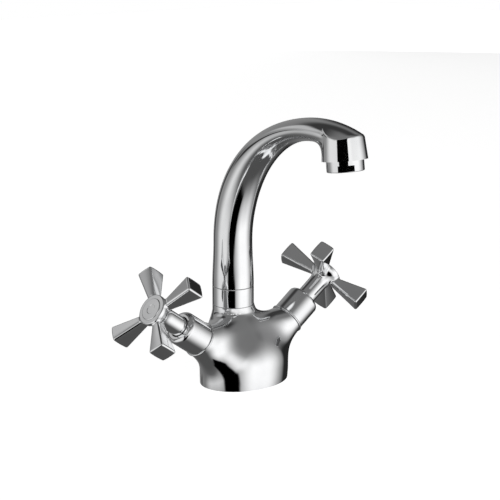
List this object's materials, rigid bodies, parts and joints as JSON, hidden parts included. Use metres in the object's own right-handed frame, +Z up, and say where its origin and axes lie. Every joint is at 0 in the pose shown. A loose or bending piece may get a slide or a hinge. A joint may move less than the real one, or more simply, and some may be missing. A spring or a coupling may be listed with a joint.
{
  "type": "bathroom mixer faucet",
  "caption": "Chrome basin mixer with an arched swivel spout, an aerator and cross handles that turn ceramic-disc valves on an oval body.",
  "frame": {"origin": "centre of the oval base, on the deck", "axes": "+Z up, the spout's rest direction towards -Y, the cold handle towards +X"},
  "size_m": [0.1955, 0.1443, 0.1907],
  "materials": {
    "body_chrome": "polished",
    "spout_chrome": "polished",
    "trim_chrome": "polished",
    "handle_chrome": "polished",
    "cap_chrome": "polished",
    "valve_brass": "machined",
    "disc_ceramic": "lapped",
    "seal_rubber": "matte",
    "clip_plastic": "moulded",
    "insert_plastic": "moulded",
    "screen_steel": "woven",
    "screw_steel": "machined"
  },
  "bodies": {
    "mixer_body": {"mixer_body": "body_chrome", "base_gasket": "seal_rubber", "spout_collar_nut": "trim_chrome", "hot_trim_ring": "trim_chrome", "hot_bonnet": "trim_chrome", "hot_seat_seal": "seal_rubber", "hot_fixed_disc": "disc_ceramic", "hot_headwork": "valve_brass", "cold_trim_ring": "trim_chrome", "cold_bonnet": "trim_chrome", "cold_seat_seal": "seal_rubber", "cold_fixed_disc": "disc_ceramic", "cold_headwork": "valve_brass"},
    "spout": {"spout": "spout_chrome", "spout_seals": "seal_rubber", "spout_slip_ring": "clip_plastic", "aerator_housing": "trim_chrome", "aerator_insert": "insert_plastic", "aerator_screen": "screen_steel", "aerator_washer": "seal_rubber"},
    "hot_handle": {"hot_handle": "handle_chrome", "hot_index_cap": "cap_chrome", "hot_handle_screw": "screw_steel", "hot_spindle": "valve_brass", "hot_moving_disc": "disc_ceramic", "hot_spindle_seal": "seal_rubber", "hot_spindle_clip": "screw_steel"},
    "cold_handle": {"cold_handle": "handle_chrome", "cold_index_cap": "cap_chrome", "cold_handle_screw": "screw_steel", "cold_spindle": "valve_brass", "cold_moving_disc": "disc_ceramic", "cold_spindle_seal": "seal_rubber", "cold_spindle_clip": "screw_steel"}
  },
  "joints": [
    {"name": "spout_swivel", "type": "hinge", "parent": "mixer_body", "child": "spout", "pos_m": [0, 0.012, 0.0654], "axis": [0, 0, 1], "continuous": true},
    {"name": "hot_handle_turn", "type": "hinge", "parent": "mixer_body", "child": "hot_handle", "pos_m": [-0.07124, 0, 0.05901], "axis": [-0.8141, 0, 0.5807], "range_deg": [0, 180]},
    {"name": "cold_handle_turn", "type": "hinge", "parent": "mixer_body", "child": "cold_handle", "pos_m": [0.07124, 0, 0.05901], "axis": [0.8141, 0, 0.5807], "range_deg": [0, 180]}
  ]
}
